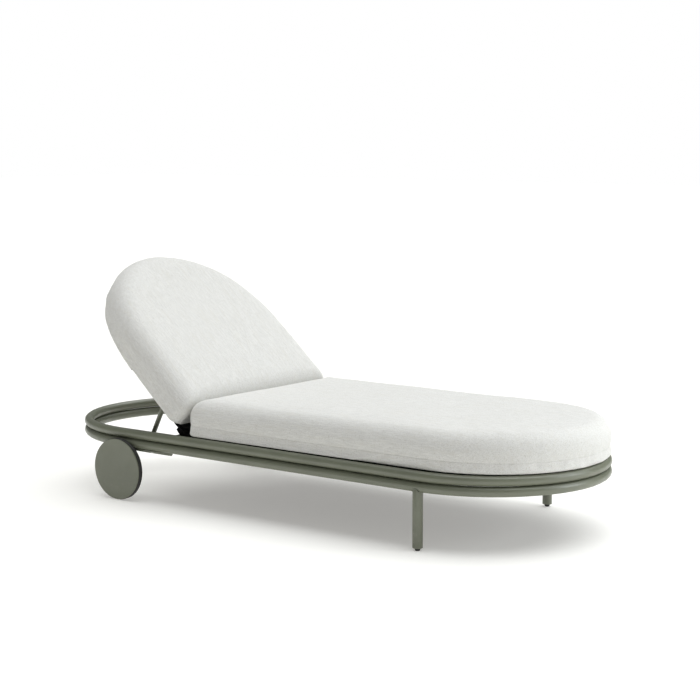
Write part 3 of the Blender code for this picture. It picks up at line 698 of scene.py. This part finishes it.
def hood_point(rim, inset, depth, outward, angle):
    """One point of the hood, thickened along its hem by the turned-up cloth."""
    hem_x, centre_x, radius = rim
    if angle is None:
        x, y_scale = hem_x, 1.0
    else:
        x = centre_x + (radius - inset) * math.cos(angle)
        y_scale = math.sin(angle)
    near_hem = 1.0 - smooth_step((hem_x - x - 0.017) / 0.003)
    push = 0.0010 * near_hem
    return x, y_scale, inset - outward[0] * push, depth + outward[1] * push


def make_hood():
    """The pocket on the back pad's rear that slips over the top of the back hoop."""
    low, high = box_in("back_hood", BACK)
    radius, thick, edge = high.y, 0.0018, 0.009
    hem_x, centre_x = high.x, low.x + radius
    rear = low.z + thick / 2
    rim = (hem_x, centre_x, radius - thick / 2)
    section = [(0.0, high.z + 0.0008, (1.0, 0.0)), (0.0, (high.z + rear + edge) / 2, (1.0, 0.0))]
    for step in range(7):
        a = math.radians(15 * step)
        section.append((edge * (1 - math.cos(a)), rear + edge * (1 - math.sin(a)),
                        (math.cos(a), -math.sin(a))))
    reach = rim[2] - edge
    for step in range(1, 33):
        section.append((edge + reach * step / 32, rear, (0.0, -1.0)))
    turns = [i / 120 for i in range(121)]
    angles = [math.radians(90 + 180 * (t - 0.8 * math.sin(2 * math.pi * t) / (2 * math.pi)))
              for t in turns]
    rows = []
    for inset, depth, outward in section:
        row = []
        for way, angle in [(1, None)] + [(0, a) for a in angles] + [(-1, None)]:
            x, y_scale, moved, z = hood_point(rim, inset, depth, outward, angle)
            y = (rim[2] - moved) * (way or y_scale)
            inward = max(0.0, inset - edge)
            slack = 0.0045 * smooth_step((inward - 0.09) / 0.12)
            folds = 0.0011 * math.exp(-inward / 0.05) * smooth_step(inward / 0.012)
            z += slack + folds * math.sin(46.0 * math.atan2(y, x - centre_x))
            row.append((x, y, z))
        rows.append(row)
    hood = cloth_from_rows("back_pocket", rows, thick, BACK)
    finish_piece(hood, cushion_fabric("pocket", None), "back_cushion")
    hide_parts("back_hood")
    half = radius - 0.004
    for number, back_off in enumerate((0.0145, 0.0035), 1):
        path = [(hem_x - back_off, half * (i / 40 - 1), low.z - 0.05) for i in range(81)]
        stitches("pocket_hem_stitches_%d" % number, hood, path, (0, 0, 1), THREAD,
                                "back_cushion")


def make_sling(name, node, hoop, matrix, round_towards, body, wrap):
    """Mesh cloth over a hoop, sagging a little, its edge turned down round the hoop by wrap."""
    low, high = box_in(node, matrix)
    tube_low, tube_high = box_in(hoop, matrix)
    tube = (tube_high.z - tube_low.z) / 2
    centre_z = tube_low.z + tube
    thick, hem, sag = 0.0012, 0.024, 0.005
    sleeve = tube + 0.0004 + thick / 2
    flat_z = centre_z + sleeve
    hoop_radius = tube_high.y - tube
    if round_towards > 0:
        flat_x, centre_x = tube_low.x + tube, high.x - high.y
    else:
        flat_x, centre_x = tube_high.x - tube, low.x + high.y
    section = [(-sleeve * math.sin(a), centre_z + sleeve * math.cos(a))
               for a in (math.radians(wrap * (1 - i / 8)) for i in range(9))]
    section += [(inset, flat_z) for inset in (0.004, 0.010, 0.016, hem - 0.001)]
    section += [(hem + (hoop_radius - hem) * (i / 22), flat_z + thick * 0.4) for i in range(23)]
    length = abs(centre_x - flat_x)
    squeeze = min(1.0, 0.98 * (length - hem) / (hoop_radius - hem))
    rows = []
    for inset, z in section:
        end = inset if inset < hem else hem + (inset - hem) * squeeze
        loop = d_loop(flat_x + round_towards * end, centre_x, hoop_radius - inset,
                      max(0.03 - inset, 0.004))
        dip = sag * (1.0 - (1.0 - inset / hoop_radius) ** 2)
        rows.append([(x, y, z - dip) for x, y in loop])
    rows[-1] = [(x, 0.0, z) for x, y, z in rows[-1]]
    cloth = cloth_from_rows(name, rows, thick, matrix, closed=True)
    finish_piece(cloth, MATERIALS["black_sling"], body)
    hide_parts(node)
    inset = hem - 0.003
    path = d_loop(flat_x + round_towards * inset, centre_x, hoop_radius - inset, 0.009)
    path = [(x, y, low.z - 0.03) for x, y in path + path[:1]]
    thread = stitches(name + "_stitches", cloth, path, (0, 0, 1), MATERIALS["nylon"],
                      body, 0.009)
    return cloth


def catmull(points, steps):
    """A smooth path through the points."""
    points = [Vector(point) for point in points]
    ends = [points[0] * 2 - points[1]] + points + [points[-1] * 2 - points[-2]]
    path = []
    for a, b, c, d in zip(ends, ends[1:], ends[2:], ends[3:]):
        for i in range(steps):
            t = i / steps
            path.append(0.5 * (2 * b + (c - a) * t + (2 * a - 5 * b + 4 * c - d) * t * t
                               + (3 * b - a - 3 * c + d) * t ** 3))
    return path + [points[-1]]


def make_hinge_shade_sheet():
    """Slack black cloth that bridges the gap between the seat's hoop and the back's; a dark sheet that puts
    painted shade into the gap between the cushions.
    """
    tube = 0.009
    seat_low, seat_high = box_in("seat_hoop", Matrix.Identity(4))
    back_low, back_high = box_in("back_hoop", BACK)
    seat_end = Vector((seat_low.x + tube, 0.0, seat_low.z + tube))
    back_end = BACK @ Vector((back_high.x - tube, 0.0, back_low.z + tube))
    turn = BACK.to_3x3()
    hug = tube + 0.0009
    way = [(seat_end, Vector((-math.sin(math.radians(a)), 0.0, math.cos(math.radians(a)))) * hug)
           for a in (35, 75)]
    slack = [(seat_end.lerp(back_end, f), Vector((0.0, 0.0, drop)))
             for f, drop in ((0.38, -0.0115), (0.60, -0.0160))]
    far = [(back_end, turn @ Vector((math.sin(math.radians(a)), 0.0, math.cos(math.radians(a))))
            * hug) for a in (95, 60, 35)]
    line = catmull([place + offset for place, offset in way + slack + far], 6)
    half = seat_high.y - 0.0015
    rows = []
    for i in range(49):
        y = half * (i / 24 - 1)
        ripple = 0.0007 * math.sin(31.0 * y + 0.8)
        rows.append([(p.x, y, p.z + ripple * math.sin(math.pi * k / (len(line) - 1)))
                     for k, p in enumerate(line)])
    # Painted shade: a black sheet that fills the shaded gap between the cushions.
    cloth = cloth_from_rows("hinge_shade_cloth", rows, 0.0012, Matrix.Identity(4))
    cloth.data.materials.append(MATERIALS["black_sling"])
    length = sum((b - a).length for a, b in zip(line, line[1:]))
    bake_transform(cloth)


# ---------------------------------------------------------------- welds
def weld_bead(name, points, radius, material):
    """A closed rippled bead along the points."""
    points = [Vector(point) for point in points]
    sides, vertices = 8, []
    for i, point in enumerate(points):
        way = (points[(i + 1) % len(points)] - points[i - 1]).normalized()
        side = way.orthogonal().normalized()
        up = way.cross(side)
        size = radius * (1 + 0.16 * math.cos(2 * math.pi * i / 3))
        for k in range(sides):
            a = 2 * math.pi * k / sides
            vertices.append(point + (side * math.cos(a) + up * math.sin(a)) * size)
    faces = []
    for i in range(len(points)):
        j = (i + 1) % len(points)
        for k in range(sides):
            m = (k + 1) % sides
            faces.append((i * sides + k, i * sides + m, j * sides + m, j * sides + k))
    obj = mesh_object(name, vertices, faces)
    return finish_piece(obj, material, "frame")


def make_leg_welds():
    rail_low, rail_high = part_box("rail_lower")
    tube = (rail_high[2] - rail_low[2]) / 2
    rail_z = (rail_high[2] + rail_low[2]) / 2
    for label, _ in SIDES:
        leg_low, leg_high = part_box("leg_" + label)
        x0, y0 = (leg_low[0] + leg_high[0]) / 2, (leg_low[1] + leg_high[1]) / 2
        points = []
        for i in range(60):
            a = 2 * math.pi * i / 60
            x, y = tube * math.cos(a), tube * math.sin(a)
            drop = math.sqrt(max(tube ** 2 - y ** 2, (0.35 * tube) ** 2))
            points.append((x0 + x, y0 + y, rail_z - drop))
        weld_bead("leg_weld_" + label, points, 0.0019, MATERIALS["sage_paint"])


def make_crossbar_welds():
    """Beads where each crossbar runs into the valley between the two rails."""
    rails = [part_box(name) for name in ("rail_upper", "rail_lower")]
    tube = (rails[0][1][2] - rails[0][0][2]) / 2
    rail_y = rails[0][1][1] - tube
    heights = [low[2] + tube for low, high in rails]
    for place in ("hinge", "head", "middle", "foot"):
        low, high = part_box("crossbar_" + place)
        x0, z0, radius = (low[0] + high[0]) / 2, (low[2] + high[2]) / 2, (high[2] - low[2]) / 2
        slot = "black_paint" if place == "hinge" else "sage_paint"
        for label, side in SIDES:
            points = []
            for i in range(45):
                a = 2 * math.pi * i / 45
                z = z0 + radius * math.sin(a)
                near = max(tube ** 2 - (z - height) ** 2 for height in heights)
                y = rail_y - math.sqrt(max(near, 0.0))
                points.append((x0 + radius * math.cos(a), side * y, z))
            weld_bead("crossbar_%s_weld_%s" % (place, label), points, 0.0016, MATERIALS[slot])


THREAD = sewing_thread()

make_camera()
make_studio()
dress_frame()
make_cushion("seat_pad", "seat_cushion", Matrix.Identity(4), 1, "frame", voxel=0.009,
             under=(0.009, 0.038), corner=0.040, seam=0.036)
make_cushion("back_pad", "back_cushion", BACK, -1, "back_cushion", voxel=0.008,
             under=(0.014, 0.036), corner=0.045, seam=0.012, fuller=0.018)
make_hood()
make_sling("seat_mesh", "seat_sling", "seat_hoop", Matrix.Identity(4), 1, "frame", 100)
make_sling("back_mesh", "back_sling", "back_hoop", BACK, -1, "backrest", 45)
make_hinge_shade_sheet()
make_leg_welds()
make_crossbar_welds()
